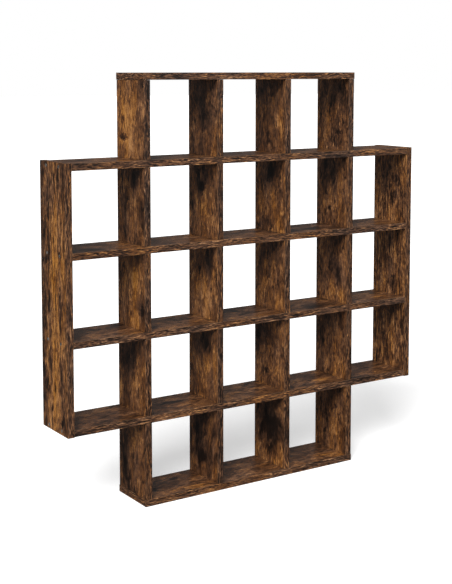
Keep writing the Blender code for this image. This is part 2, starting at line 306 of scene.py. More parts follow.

# %% [markdown]
# ## Marks of the wood
# Smoked oak foil has large marks, such as black knots, sooty patches and golden
# stretches, and fine ones, such as streaks and pores. On the dividers some golden marks are
# painted light instead of print. The fine ones are the shader's work.
# The large ones are placed like a maker sorts boards: a few listed where this unit shows
# them, and the others by a seeded draw. They are stored on the surface as two numbers:
# "tone", below 0 for sooty and above 0 for golden, and "knot", the distance to the nearest
# knot in knot radii. Both change slowly, so a coarse grid carries them. Here they are only
# chosen and drawn. They are stored once the holes are cut.

# %% Large marks
# Each mark is (place along the grain, place from the front edge, half length, half width,
# strength), in metres from the board's low end. A strength below 0 is sooty, above 0 golden.
# On the dividers the golden marks are partly print and partly painted light: those at the
# low front corner paint the pool of key light and its warm bounce at the divider's foot,
# and the broad ones over a face paint the whole face lighter.
MARKS = {
    "side_panel_left": [
        (0.50, 0.192, 0.70, 0.030, -0.32), (0.86, 0.11, 0.16, 0.09, -0.16),
        (0.28, 0.095, 0.36, 0.050, 0.18), (0.62, 0.135, 0.30, 0.007, -0.30),
        (0.40, 0.052, 0.26, 0.006, -0.28), (0.74, 0.080, 0.16, 0.008, 0.24),
        (0.22, 0.128, 0.16, 0.008, -0.26), (0.55, 0.105, 0.14, 0.010, 0.20),
        (0.72, 0.030, 0.17, 0.012, 0.28),
        (0.07, 0.030, 0.07, 0.022, -0.25), (0.88, 0.020, 0.06, 0.016, -0.45),
        (0.16, 0.180, 0.09, 0.022, -0.20), (0.20, 0.045, 0.12, 0.020, -0.14)],
    # Divider marks: the golden ones at the low front corner and the broad golden ones are painted
    # light, the dark ones are print.
    "divider_row5_1": [
        (0.14, 0.150, 0.30, 0.075, 0.24), (0.14, 0.060, 0.30, 0.060, 0.10),
        (0.08, 0.135, 0.03, 0.050, 0.10), (0.24, 0.030, 0.10, 0.020, -0.14)],
    "divider_row5_2": [(0.15, 0.100, 0.05, 0.040, -0.26), (0.23, 0.150, 0.05, 0.030, -0.10)],
    "divider_row5_3": [(0.24, 0.165, 0.03, 0.020, -0.35), (0.12, 0.028, 0.12, 0.014, 0.26),
                       (0.14, 0.10, 0.2, 0.1, 0.03)],
    "divider_row5_4": [(0.24, 0.070, 0.05, 0.050, -0.22), (0.10, 0.110, 0.10, 0.060, 0.10)],
    "divider_row4_1": [
        (0.23, 0.075, 0.05, 0.020, -0.36), (0.07, 0.140, 0.07, 0.012, -0.35),
        (0.12, 0.020, 0.12, 0.016, -0.20), (0.18, 0.120, 0.10, 0.040, 0.12)],
    "divider_row4_2": [(0.19, 0.120, 0.025, 0.020, -0.45), (0.12, 0.090, 0.09, 0.060, 0.17),
                       (0.03, 0.040, 0.06, 0.040, 0.14)],
    "divider_row4_3": [(0.22, 0.100, 0.03, 0.022, -0.45), (0.05, 0.040, 0.08, 0.040, 0.22),
                       (0.12, 0.110, 0.12, 0.060, 0.09)],
    "divider_row4_4": [(0.24, 0.140, 0.04, 0.014, -0.40), (0.21, 0.090, 0.05, 0.018, -0.26),
                       (0.10, 0.050, 0.08, 0.050, 0.12)],
    "divider_row3_1": [(0.14, 0.090, 0.16, 0.080, 0.27), (0.07, 0.020, 0.03, 0.020, -0.45),
                       (0.13, 0.060, 0.04, 0.030, 0.12), (0.03, 0.060, 0.05, 0.050, 0.10)],
    "divider_row3_2": [(0.21, 0.060, 0.035, 0.022, -0.50), (0.12, 0.090, 0.14, 0.080, 0.17),
                       (0.03, 0.050, 0.05, 0.050, 0.12)],
    "divider_row3_3": [(0.14, 0.100, 0.16, 0.090, 0.11), (0.03, 0.030, 0.06, 0.040, 0.14)],
    "divider_row3_4": [(0.13, 0.070, 0.05, 0.030, -0.45), (0.04, 0.060, 0.03, 0.050, 0.30),
                       (0.20, 0.160, 0.08, 0.030, 0.10)],
    "divider_row2_1": [(0.20, 0.110, 0.06, 0.050, -0.22), (0.08, 0.185, 0.05, 0.012, 0.35),
                       (0.12, 0.040, 0.14, 0.040, 0.14)],
    "divider_row2_2": [(0.20, 0.080, 0.03, 0.024, -0.45), (0.12, 0.090, 0.12, 0.070, 0.17)],
    "divider_row2_3": [(0.22, 0.170, 0.03, 0.020, -0.40), (0.12, 0.090, 0.14, 0.080, 0.05)],
    "divider_row2_4": [(0.04, 0.040, 0.06, 0.050, 0.14), (0.20, 0.150, 0.06, 0.040, -0.10)],
    "side_panel_right": [
        (0.16, 0.070, 0.12, 0.010, 0.20), (0.12, 0.060, 0.25, 0.080, -0.15),
        (0.45, 0.100, 0.14, 0.090, -0.12), (0.78, 0.100, 0.14, 0.090, -0.16)],
    "divider_row1_1": [(0.11, 0.155, 0.14, 0.018, -0.42), (0.20, 0.060, 0.08, 0.040, 0.14)],
    "divider_row1_2": [(0.18, 0.140, 0.06, 0.014, -0.35), (0.08, 0.120, 0.02, 0.060, -0.50),
                       (0.12, 0.080, 0.14, 0.090, -0.06)],
    "divider_row1_3": [(0.15, 0.090, 0.07, 0.060, -0.45), (0.04, 0.180, 0.04, 0.016, 0.34),
                       (0.03, 0.030, 0.06, 0.030, 0.14)],
    "divider_row1_4": [(0.06, 0.060, 0.08, 0.050, 0.10)],
}
# A knot is (place along the grain, place from the front edge, half length, half width).
KNOTS = {
    "divider_row5_1": [(0.075, 0.150, 0.012, 0.022)],
    "divider_row5_4": [(0.070, 0.065, 0.010, 0.011)],
    "divider_row4_1": [(0.160, 0.120, 0.009, 0.006)],
    "divider_row4_2": [(0.236, 0.130, 0.014, 0.009), (0.190, 0.100, 0.016, 0.016)],
    "divider_row4_3": [(0.256, 0.095, 0.012, 0.008)],
    "divider_row4_4": [(0.070, 0.115, 0.010, 0.010)],
    "divider_row3_1": [(0.220, 0.155, 0.016, 0.006), (0.070, 0.020, 0.014, 0.010)],
    "divider_row3_2": [(0.250, 0.070, 0.012, 0.010)],
    "divider_row2_2": [(0.236, 0.105, 0.012, 0.009)],
    "divider_row1_1": [(0.140, 0.090, 0.020, 0.004)],
    "side_panel_left": [(0.040, 0.045, 0.012, 0.010)],
}
RANDOM_SEED = 21
FAR = 4.0  # knot radii beyond which a knot has no effect
MARK_EVERY = 0.16  # metres of board for each mark that is drawn
KNOT_EVERY = 0.5  # and for each knot that may be drawn
DRAWN_STRENGTHS = (-0.34, -0.22, 0.14, 0.22)


def bump_sum(u, v, marks):
    """Sum of strength * exp(-(du / a)^2 - (dv / b)^2) over the marks."""
    total = np.zeros_like(u)
    for place_u, place_v, a, b, strength in marks:
        total += strength * np.exp(-(((u - place_u) / a) ** 2) - ((v - place_v) / b) ** 2)
    return total


def knot_distance(u, v, knots):
    """Smallest sqrt((du / a)^2 + (dv / b)^2) over the knots, at most FAR."""
    nearest = np.full_like(u, FAR)
    for place_u, place_v, a, b in knots:
        nearest = np.minimum(nearest, np.hypot((u - place_u) / a, (v - place_v) / b))
    return nearest


def drawn_marks(rng, length):
    """A few marks and perhaps a knot, drawn at random for a face about which nothing is
    said."""
    marks = []
    for _ in range(max(2, int(length / MARK_EVERY))):
        strength = rng.choice(DRAWN_STRENGTHS)
        marks.append((rng.uniform(0, length), rng.uniform(0, 0.2), rng.uniform(0.03, 0.09),
                      rng.uniform(0.012, 0.035), strength))
    knots = [(rng.uniform(0.03, length - 0.03), rng.uniform(0.02, 0.18),
              rng.uniform(0.009, 0.016), rng.uniform(0.006, 0.011))
             for _ in range(rng.integers(0, 1 + max(1, int(length / KNOT_EVERY))))]
    return marks, knots


rng = np.random.default_rng(RANDOM_SEED)
print(sum(map(len, MARKS.values())), "marks and", sum(map(len, KNOTS.values())), "knots by hand")

# %% [markdown]
# ## From grid to mesh
# The points are turned into the board's own place, and the mesh gets its faces, its
# materials by zone and its texture coordinates. At the very ends the arris
# radius is 0, so the points of each round corner fall on one spot. Merging them closes
# the shape, and after that the faces are turned outwards.

# %% Board mesh
FOIL, BANDING, CORE = range(3)  # material slots of a board
# The second finish is the foil painted lighter for the side panels, a painted lit copy.
FINISHES = ("smoked oak foil", "painted lit oak foil", "smoked oak edge band", "chipboard core")
FINISH = {name: bpy.data.materials.new(name) for name in FINISHES}  # their nodes come later
ZONE_SLOT = {TOP: FOIL, BOTTOM: FOIL, FRONT: BANDING, REAR: BANDING, END: BANDING}
MERGE = 1e-6
DARKER_BAND = 0.10  # the dividers are banded from a darker roll than the long boards


def zone_print(points, zone, start):
    """Texture coordinates in metres: along the grain, and across it. On a wide face that
    is length and depth, on an edge length and thickness, on an end depth and thickness."""
    length, depth, thick = points[..., 0], points[..., 1], points[..., 2]
    z = zone[:, None]
    u = np.where(z == END, depth, length)
    v = np.where((z == TOP) | (z == BOTTOM), depth, thick)
    shift = np.array([PRINT_SHIFT[n] for n in range(5)])[zone]
    return np.stack([u + shift[:, None, 0] + start[0], v + shift[:, None, 1] + start[1]], -1)


def store(mesh, name, values):
    """One number per point, kept on the mesh for the shader."""
    layer = mesh.attributes.new(name, "FLOAT", "POINT")
    layer.data.foreach_set("value", np.asarray(values, np.float32).ravel())


def close_and_turn(mesh):
    """Merges points that fall together, and turns every face outwards."""
    shape = bmesh.new()
    shape.from_mesh(mesh)
    bmesh.ops.remove_doubles(shape, verts=shape.verts, dist=MERGE)
    bmesh.ops.dissolve_degenerate(shape, edges=shape.edges, dist=MERGE)
    bmesh.ops.recalc_face_normals(shape, faces=shape.faces)
    shape.to_mesh(mesh)
    shape.free()


def smooth(mesh, sharp_from):
    """Smooth shading, except over edges that turn by more than an angle."""
    mesh.shade_smooth()
    mesh.set_sharp_from_angle(angle=sharp_from)


def new_piece(name, mesh):
    """An object at the origin for a mesh that already holds its place."""
    piece = bpy.data.objects.new(name, mesh)
    bpy.context.scene.collection.objects.link(piece)
    return piece


def give_slots(mesh, face="smoked oak foil"):
    """The three material slots of a board, which its cutters share."""
    for name in (face, "smoked oak edge band", "chipboard core"):
        mesh.materials.append(FINISH[name])


def length_and_thickness(low, high):
    """The axes of a board's length and thickness: it is upright when it is taller than wide."""
    return (2, 0) if high[2] - low[2] > high[0] - low[0] else (0, 2)


def board_piece(node, hidden_ends):
    """The surface of one board, in the place that the frame gives it."""
    low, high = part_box(node)
    centre, half = np.array((low + high) / 2), np.array((high - low) / 2)
    length_axis, thick_axis = length_and_thickness(low, high)
    grid, sec, share = board_grid(half[length_axis], half[1], half[thick_axis])
    rows, columns = grid.shape[:2]
    faces, i, j = grid_faces(rows, columns)
    points = grid.reshape(-1, 3)
    place = np.empty_like(points)
    place[:, length_axis] = points[:, 0] + centre[length_axis]
    place[:, 1] = points[:, 1] + centre[1]
    place[:, thick_axis] = points[:, 2] + centre[thick_axis]
    zone = face_zones(sec, share, i, j)
    caps = end_caps(rows, columns)
    mesh = bpy.data.meshes.new(node)
    mesh.from_pydata(place, [], faces.tolist() + caps)
    slots = np.array([ZONE_SLOT[n] for n in range(5)])[zone]
    slots = np.concatenate([slots, [CORE if hidden_ends else BANDING] * 2])
    # Side panels get the copy of the foil that is painted lighter, painted light over the print.
    give_slots(mesh, "painted lit oak foil" if node.startswith("side") else "smoked oak foil")
    mesh.polygons.foreach_set("material_index", slots)
    start = rng.uniform(0, 40, 2)
    corner_print = zone_print(points[faces], zone, start).reshape(-1, 2)
    cap_print = zone_print(points[np.array(caps)], np.full(2, END), start).reshape(-1, 2)
    layer = mesh.uv_layers.new(name="print")
    layer.uv.foreach_set("vector", np.concatenate([corner_print, cap_print]).ravel())

    drawn = [drawn_marks(rng, 2 * half[length_axis]) for _ in ("near", "far")]
    if node in MARKS:
        drawn[0] = MARKS[node], KNOTS.get(node, [])
    # The marks are print, but on the dividers the listed golden ones are painted light as well.
    print_and_light_marks[node] = drawn
    close_and_turn(mesh)
    return new_piece(node + "_board", mesh)


boards, print_and_light_marks = {}, {}
for node in BOARDS:
    boards[node] = board_piece(node, hidden_ends=not node.startswith(("side", "top", "bottom")))
print(len(boards), "boards,", sum(len(b.data.polygons) for b in boards.values()), "faces")

# %% [markdown]
# ## Turned pieces
# A connector screw is a flat head with a hexagon socket, a short cone, and a coarse
# thread. It could be modelled by cutting a helix, but a screw is simpler as one surface of
# two parameters: the angle round the axis, and the row along it. Each row has a depth and
# a radius, and the radius may depend on the angle: a hexagon in the socket, a circle on the
# head, and in the thread a wave that climbs one pitch for each turn.

# %% Rows of a turned surface
HEX_FLATS = 0.004
HEX_DEPTH = 0.0025
CROSS_REACH = 0.0019
CROSS_HALF = 0.00055
CROSS_DEPTH = 0.0014
ANGLES = 24
TURNED_SMOOTH = math.radians(35)  # the socket's edges and the arrises stay sharp


def circle(angle, radius):
    """The same radius at every angle."""
    return np.full_like(angle, radius)


def hexagon(angle, flats):
    """Half the flats, divided by the cosine of the angle from the nearest flat's middle."""
    sector = math.pi / 3
    return flats / 2 / np.cos(angle % sector - sector / 2)


def cross(angle, reach_out):
    """The smaller of the arm's reach and its half width over min(|sin|, |cos|)."""
    narrow = np.minimum(np.abs(np.sin(angle)), np.abs(np.cos(angle)))
    return np.minimum(reach_out, CROSS_HALF * reach_out / CROSS_REACH / np.maximum(narrow, 1e-3))


def thread(angle, depth, pitch, core, crest):
    """From core to crest: a triangle wave of depth / pitch - angle / turn, rounded off."""
    phase = (depth / pitch - angle / (2 * math.pi)) % 1.0
    wave = 1 - np.abs(2 * phase - 1)
    return core + (crest - core) * wave**1.5


def turned(rows, steps=ANGLES):
    """Points of a turned surface round +Z, its rows as (depth, shape, size) from the head
    down, closed at both ends."""
    angle = np.arange(steps) * 2 * math.pi / steps
    depth = np.array([row[0] for row in rows])
    radius = np.array([shape(angle, *size) for _, shape, size in rows])
    grid = np.empty((len(rows), steps, 3))
    grid[..., 0] = radius * np.cos(angle)
    grid[..., 1] = radius * np.sin(angle)
    grid[..., 2] = -depth[:, None]
    return grid


def turned_mesh(name, grid, turns):
    """One mesh of the turned surface, turned to the given place. Its texture coordinates
    are the share of a turn and the way along the profile."""
    rows, steps = grid.shape[:2]
    faces, i, j = grid_faces(rows, steps)
    mesh = bpy.data.meshes.new(name)
    mesh.from_pydata(grid.reshape(-1, 3), [], faces.tolist() + end_caps(rows, steps))
    radius = np.hypot(grid[..., 0], grid[..., 1]).mean(1)
    way = np.concatenate([[0], np.cumsum(np.hypot(np.diff(radius), np.diff(grid[:, 0, 2])))])
    u = np.stack([j, j + 1, j + 1, j], -1) / steps
    v = np.stack([way[i], way[i], way[i + 1], way[i + 1]], -1)
    flat = np.zeros((2 * steps, 2))
    layer = mesh.uv_layers.new(name="print")
    corner_print = np.concatenate([np.stack([u, v], -1).reshape(-1, 2), flat])
    layer.uv.foreach_set("vector", corner_print.ravel())
    close_and_turn(mesh)
    mesh.transform(turns)
    smooth(mesh, TURNED_SMOOTH)
    return mesh


print("turned surfaces ready")

# %% [markdown]
# The two kinds of screw are lists of rows. The place and the direction of each screw come
# from its box in the frame: the box is longest along the screw, and the head is at the end
# that faces out of the unit.

# %% Screws
NECK = 0.0045
THREAD_START = 0.0065
SCREW_END = 0.050
PITCH = 0.003
ROW_STEP = PITCH / 8
CREST = 0.0035
ROOT = 0.0026
HEAD = 0.006
HEAD_THICKNESS = 0.0020
CHAMFER = 0.0003
SMALL_CREST = 0.0018
SMALL_ROOT = 0.0012
SMALL_PITCH = 0.0016
SMALL_STEP = 0.0002
SMALL_ANGLES = 32


def connector_rows():
    """Socket, head, neck, thread and blunt point of a connector screw."""
    rows = [
        (HEX_DEPTH + 0.0006, circle, (0.0004,)),
        (HEX_DEPTH, hexagon, (HEX_FLATS,)),
        (CHAMFER, hexagon, (HEX_FLATS,)),
        (0.0, hexagon, (HEX_FLATS + 2 * CHAMFER,)),
        (0.0, circle, (HEAD * 0.72,)),
        (0.0, circle, (HEAD - CHAMFER,)),
        (CHAMFER, circle, (HEAD,)),
        (HEAD_THICKNESS, circle, (HEAD,)),
        (NECK, circle, (CREST,)),
        (THREAD_START - 0.0005, circle, (CREST * 0.92,)),
    ]
    for depth in np.arange(THREAD_START, SCREW_END - 0.003, ROW_STEP):
        rows.append((depth, thread, (depth, PITCH, ROOT, CREST)))
    return rows + [(SCREW_END - 0.0025, circle, (ROOT,)), (SCREW_END, circle, (0.0014,))]


def plate_screw_rows(length, head):
    """Cross recess, countersunk head, thread and point of a small screw."""
    rows = [
        (CROSS_DEPTH, cross, (CROSS_REACH * 0.45,)),
        (CROSS_DEPTH * 0.5, cross, (CROSS_REACH * 0.85,)),
        (0.0, cross, (CROSS_REACH,)),
        (0.0, circle, (head - 0.0002,)),
        (0.0002, circle, (head,)),
        (0.0019, circle, (0.0019,)),
    ]
    for depth in np.arange(0.0028, length - 0.002, SMALL_STEP):
        rows.append((depth, thread, (depth, SMALL_PITCH, SMALL_ROOT, SMALL_CREST)))
    return rows + [(length - 0.0018, circle, (SMALL_ROOT,)), (length, circle, (0.0003,))]


def head_place(node):
    """Where a screw's head is and which way it faces, from the screw's box."""
    low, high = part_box(node)
    size, centre = high - low, (low + high) / 2
    axis = max(range(3), key=lambda a: size[a])
    away = Vector((0, 0, 0))
    away[axis] = 1.0 if (centre - MIDDLE)[axis] > 0 else -1.0
    head = centre + away * (size[axis] / 2)
    return Matrix.Translation(head) @ away.to_track_quat("Z", "Y").to_matrix().to_4x4()


SCREWS = sorted(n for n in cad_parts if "screw" in n)
CONNECTORS = [n for n in SCREWS if not n.startswith("plate")]
screw_places = {node: head_place(node) for node in SCREWS}
metal_pieces = {}
plate_low, plate_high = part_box("plate_screw_left_lower")
small_rows = plate_screw_rows(plate_high.y - plate_low.y, (plate_high.x - plate_low.x) / 2)
small_grid = turned(small_rows, SMALL_ANGLES)
for node in SCREWS:
    grid = turned(connector_rows()) if node in CONNECTORS else small_grid
    mesh = turned_mesh(node, grid, screw_places[node])
    metal_pieces[node] = new_piece(node + "_turned", mesh)
print(len(CONNECTORS), "connector screws and", len(SCREWS) - len(CONNECTORS), "plate screws")

# %% [markdown]
# ## Holes for the screws
# On the real boards the screws sit in stepped holes. A hole is another turned surface, a
# little wider than the screw, and a Boolean takes it out of each board that it meets. The
# walls of a hole show raw chipboard, so the cutter carries that material slot.

# %% Drill the boards
CLEARANCE = 0.0003
SMALL_HOLE = 0.020  # depth of a plate screw's hole


def hole_rows(radius, head, head_depth, length):
    """A round hole with a wider mouth, from just outside the board to its end."""
    return [
        (-CLEARANCE * 2, circle, (head + CLEARANCE,)),
        (head_depth + CLEARANCE, circle, (head + CLEARANCE,)),
        (head_depth + CLEARANCE + (head - radius), circle, (radius + CLEARANCE,)),
        (length + CLEARANCE * 2, circle, (radius + CLEARANCE,)),
    ]


def make_cutter(name, mesh):
    """A closed shape in the core's slot, to be cut out of boards and then removed."""
    give_slots(mesh)
    mesh.polygons.foreach_set("material_index", np.full(len(mesh.polygons), CORE))
    cutter = new_piece(name, mesh)
    cutter.hide_render = True
    return cutter


def cut(piece, cutters):
    """Takes the cutters out of a piece and keeps the result as its mesh."""
    for cutter in cutters:
        boolean = piece.modifiers.new("hole", "BOOLEAN")
        boolean.object = cutter
        boolean.solver = "EXACT"
        boolean.operation = "DIFFERENCE"
    bpy.context.view_layer.update()
    carved = piece.evaluated_get(bpy.context.evaluated_depsgraph_get())
    result = bpy.data.meshes.new_from_object(carved)
    result.name = piece.name
    piece.modifiers.clear()
    piece.data = result


def boxes_meet(one, other):
    """Whether two boxes share any space."""
    return all(one[0][a] < other[1][a] and other[0][a] < one[1][a] for a in range(3))


hole_cutters = {}
for node in SCREWS:
    if node in CONNECTORS:
        rows = hole_rows(CREST, HEAD, HEAD_THICKNESS, SCREW_END)
    else:
        rows = hole_rows(SMALL_CREST, SMALL_CREST, 0.0, SMALL_HOLE)
    mesh = turned_mesh("hole_" + node, turned(rows), screw_places[node])
    hole_cutters[node] = make_cutter("hole_" + node, mesh)
print(len(hole_cutters), "hole shapes")

# %% [markdown]
# ## Wall plates
# Each plate is a 2 mm zinc-plated pressing with a keyhole between two countersunk screws.
# Its outline is a rectangle with round corners, carried through the thickness with a small
# arris. The keyhole, a slot that opens into a round entry, is cut through it, and the
# panel's edge has a pocket behind it for the head of the wall screw.

# %% Plates and pockets
PLATE_CORNER = 0.003
PLATE_ARRIS = 0.0003
ENTRY = (0.0050, -0.006)  # radius and height of the round entry, from the plate's middle
SLOT = (0.0025, 0.007)  # half width of the slot, and height of its round end
POCKET_HALF = 0.0062
POCKET_DEEP = 0.012
SINK_MOUTH = 0.0042
SINK_NECK = 0.0021
CORNER_POINTS = 9


def arc(centre_x, centre_z, radius, start, end, count=CORNER_POINTS):
    """Points on a circle from one angle to another."""
    a = np.linspace(start, end, count)
    return np.stack([centre_x + radius * np.cos(a), centre_z + radius * np.sin(a)], -1)


def rounded_rectangle(half_x, half_z, radius):
    """Four quarter circles, joined by the straight sides between them."""
    x, z = half_x - radius, half_z - radius
    quarter = math.pi / 2
    corners = [(x, z), (-x, z), (-x, -z), (x, -z)]
    return np.concatenate([arc(cx, cz, radius, n * quarter, (n + 1) * quarter)
                           for n, (cx, cz) in enumerate(corners)])


def keyhole():
    """A half circle over the slot, then the entry's circle up to where the slot meets it."""
    meet = math.asin(SLOT[0] / ENTRY[0])
    entry = arc(0, ENTRY[1], ENTRY[0], math.pi / 2 + meet, 2.5 * math.pi - meet, 25)
    return np.concatenate([arc(0, SLOT[1], SLOT[0], 0, math.pi), entry])


def pocket():
    """A slot with two round ends."""
    upper = arc(0, SLOT[1], POCKET_HALF, 0, math.pi)
    return np.concatenate([upper, arc(0, ENTRY[1], POCKET_HALF, math.pi, 2 * math.pi)])


def carried(name, outlines, depths, centre):
    """A closed shape: each outline (x, z) at its own depth y, joined to the next."""
    grid = np.empty((len(outlines), len(outlines[0]), 3))
    for row, (outline, depth) in enumerate(zip(outlines, depths)):
        grid[row] = np.column_stack([centre.x + outline[:, 0],
                                     np.full(len(outline), depth), centre.z + outline[:, 1]])
    rows, steps = grid.shape[:2]
    faces = grid_faces(rows, steps)[0].tolist() + end_caps(rows, steps)
    mesh = bpy.data.meshes.new(name)
    mesh.from_pydata(grid.reshape(-1, 3), [], faces)
    close_and_turn(mesh)
    return mesh


def plate_piece(node, screws):
    """A wall plate with its keyhole and its two countersinks."""
    low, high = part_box(node)
    centre, half = (low + high) / 2, (high - low) / 2
    full = rounded_rectangle(half.x, half.z, PLATE_CORNER)
    drawn_in = rounded_rectangle(half.x - PLATE_ARRIS, half.z - PLATE_ARRIS,
                                 PLATE_CORNER - PLATE_ARRIS)
    depths = [low.y, low.y + PLATE_ARRIS, high.y - PLATE_ARRIS, high.y]
    piece = new_piece(node + "_pressing", carried(node, [drawn_in, full, full, drawn_in],
                                                  depths, centre))
    outside = (low.y - CLEARANCE, high.y + CLEARANCE)
    slot_cutter = make_cutter("slot", carried("slot", [keyhole()] * 2, outside, centre))
    sinks = []
    for screw in screws:
        rows = [(-CLEARANCE, circle, (SINK_MOUTH,)), (SINK_NECK, circle, (SINK_NECK,)),
                (0.004, circle, (SINK_NECK,))]
        sinks.append(make_cutter("sink", turned_mesh("sink", turned(rows), screw_places[screw])))
    cut(piece, [slot_cutter, *sinks])
    for cutter in (slot_cutter, *sinks):
        bpy.data.objects.remove(cutter)
    return piece, centre


pocket_cutters = {}
for side in ("left", "right"):
    node = "wall_plate_" + side
    screws = [s for s in SCREWS if s.startswith("plate_screw_" + side)]
    metal_pieces[node], centre = plate_piece(node, screws)
    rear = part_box("side_panel_" + side)[1].y
    shape = carried("pocket", [pocket()] * 2, (rear - POCKET_DEEP, rear + CLEARANCE), centre)
    pocket_cutters["side_panel_" + side] = make_cutter("pocket_" + side, shape)
print("two plates, two pockets")

# %% [markdown]
# Once the holes are cut, every point of a board, old or new, gets three numbers for the
# shader from its place alone: the tone of the marks, the distance from the nearest knot,
# and whether it lies on a round edge. Stored before the cut, they would be missing round
# the holes.

# %% Cut the holes and pockets
ON_ARRIS = 0.98  # a point this share of the arris radius from a face is still on the arris
BOARD_SMOOTH = math.radians(30)  # a sharper turn than this is kept as an edge


def mark_board(node, mesh):
    """Tone and knot from the marks of the side the point is on. It is on the arris where
    it lies less than the arris radius from two faces of the board's box."""
    low, high = (np.array(corner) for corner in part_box(node))
    points = np.empty(len(mesh.vertices) * 3)
    mesh.vertices.foreach_get("co", points)
    points = points.reshape(-1, 3)
    length_axis, thick_axis = length_and_thickness(low, high)
    u, v = points[:, length_axis] - low[length_axis], points[:, 1] - low[1]
    upper = points[:, thick_axis] > (low + high)[thick_axis] / 2
    near = upper if thick_axis == 2 else ~upper
    (near_marks, near_knots), (far_marks, far_knots) = print_and_light_marks[node]
    # The tone is print, and on the dividers partly painted light from their golden marks.
    tone = np.where(near, bump_sum(u, v, near_marks), bump_sum(u, v, far_marks))
    if node.startswith("divider"):
        tone -= DARKER_BAND * (v < ARRIS / 2)
    store(mesh, "tone", tone)
    store(mesh, "knot", np.where(near, knot_distance(u, v, near_knots),
                                 knot_distance(u, v, far_knots)))
    inset = np.minimum(points - low, high - points)
    store(mesh, "arris", (inset < ON_ARRIS * ARRIS).sum(axis=1) >= 2)


for node, board in boards.items():
    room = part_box(node)
    cutters = [c for s, c in hole_cutters.items() if boxes_meet(room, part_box(s))]
    if node in pocket_cutters:
        cutters.append(pocket_cutters[node])
    if cutters:
        cut(board, cutters)
    mark_board(node, board.data)
    smooth(board.data, BOARD_SMOOTH)
for cutter in (*hole_cutters.values(), *pocket_cutters.values()):
    bpy.data.objects.remove(cutter)
for node in ("wall_plate_left", "wall_plate_right"):
    smooth(metal_pieces[node].data, BOARD_SMOOTH)
print(sum(len(b.data.polygons) for b in boards.values()), "faces after drilling")

# %% [markdown]
# ## Node helpers
# The finishes are built from nodes. Two small helpers keep that short: one adds a node
# and links or sets its inputs, and one starts a node group with named sockets.

# %% Node helpers


def add(tree, kind, inputs=None, **settings):
    """Adds a node, and links or sets each input, given by name or by number."""
    made = tree.nodes.new(kind)
    for key, value in settings.items():
        setattr(made, key, value)
    for key, value in (inputs or {}).items():
        if isinstance(value, bpy.types.NodeSocket):
            tree.links.new(value, made.inputs[key])
        else:
            made.inputs[key].default_value = value
    return made


def calc(tree, operation, one, two=0.0, three=0.0):
    """The result of a Math node."""
    return add(tree, "ShaderNodeMath", {0: one, 1: two, 2: three}, operation=operation).outputs[0]


def add_layers(tree, tone, layers):
    """The tone plus amount * layer, for each (layer, amount)."""
    for layer, amount in layers:
        tone = calc(tree, "MULTIPLY_ADD", layer, amount, tone)
    return tone


def fade(tree, value, low, high, out_low=0.0, out_high=1.0):
    """A smooth step of a value, from low to high."""
    sockets = {"Value": value, "From Min": low, "From Max": high,
               "To Min": out_low, "To Max": out_high}
    return add(tree, "ShaderNodeMapRange", sockets, interpolation_type="SMOOTHSTEP").outputs[0]


def grain_noise(tree, vector, scale, seed, detail=2.0):
    """Noise stretched by a scale of (along, across) per metre, around 0 instead of 0.5."""
    place = add(tree, "ShaderNodeVectorMath", {0: vector, 1: (*scale, 1.0), 2: (0.0, 0.0, seed)},
                operation="MULTIPLY_ADD").outputs[0]
    noise = add(tree, "ShaderNodeTexNoise", {"Vector": place, "Scale": 1.0, "Detail": detail,
                                             "Roughness": 0.55})
    return calc(tree, "SUBTRACT", noise.outputs[0], 0.5)


def new_group(name, inputs, outputs):
    """A node group with its named inputs and outputs."""
    tree = bpy.data.node_groups.new(name, "ShaderNodeTree")
    for label, kind, value in inputs:
        socket = tree.interface.new_socket(label, in_out="INPUT", socket_type="NodeSocket" + kind)
        if value is not None:
            socket.default_value = value
    for label, kind in outputs:
        tree.interface.new_socket(label, in_out="OUTPUT", socket_type="NodeSocket" + kind)
    return tree, tree.nodes.new("NodeGroupInput").outputs, tree.nodes.new("NodeGroupOutput")


print("helpers ready")

# %% [markdown]
# ## The inks of the foil
# A decor foil is printed with a few inks on one brown paper. So every layer of the print
# only adds to or takes from one tone, and one colour ramp turns the tone into colour, from
# soot over dark and warm brown to gold. The face foil and the edge band share it, which
# keeps their colours together.

# %% Ink group
SMOKED_OAK = [  # tone, colour
    (0.00, (0.010, 0.0044, 0.0022)),
    (0.18, (0.022, 0.0100, 0.0053)),
    (0.36, (0.052, 0.0226, 0.0108)),
    (0.52, (0.097, 0.0405, 0.0176)),
    (0.68, (0.167, 0.0700, 0.0268)),
    (0.84, (0.280, 0.1230, 0.0420)),
    (1.00, (0.435, 0.2120, 0.0760)),
]


def ink_group():
    """The ink's colour for a tone, and its gloss, which is a little more on lighter ink."""
    tree, given, out = new_group("oak inks", [("Tone", "Float", 0.5), ("Richness", "Float", 1.0)],
                                 [("Color", "Color"), ("Roughness", "Float")])
    ramp = add(tree, "ShaderNodeValToRGB", {"Fac": given["Tone"]})
    stops = ramp.color_ramp.elements
    while len(stops) < len(SMOKED_OAK):
        stops.new(0.5)
    for stop, (position, colour) in zip(stops, SMOKED_OAK):
        stop.position = position
        stop.color = (*colour, 1.0)
    hue = add(tree, "ShaderNodeHueSaturation",
              {"Color": ramp.outputs["Color"], "Saturation": given["Richness"]})
    tree.links.new(hue.outputs["Color"], out.inputs["Color"])
    tree.links.new(fade(tree, given["Tone"], 0.1, 0.9, 0.36, 0.26), out.inputs["Roughness"])
    return tree


INK_GROUP = ink_group()
print(len(SMOKED_OAK), "inks")

# %% [markdown]
# ## The smoked oak print
# The print is a sum of layers: clouds, lighter patches of worn patina with clear outlines,
# black blots with ragged outlines, streaks a few millimetres wide that wander along the
# board, thin dark lines, cracks, mottling, fibres and pores. Each is noise stretched along
# the grain by its own amount. Knots pull the streaks aside and have rings round them.

# %% Smoked oak group


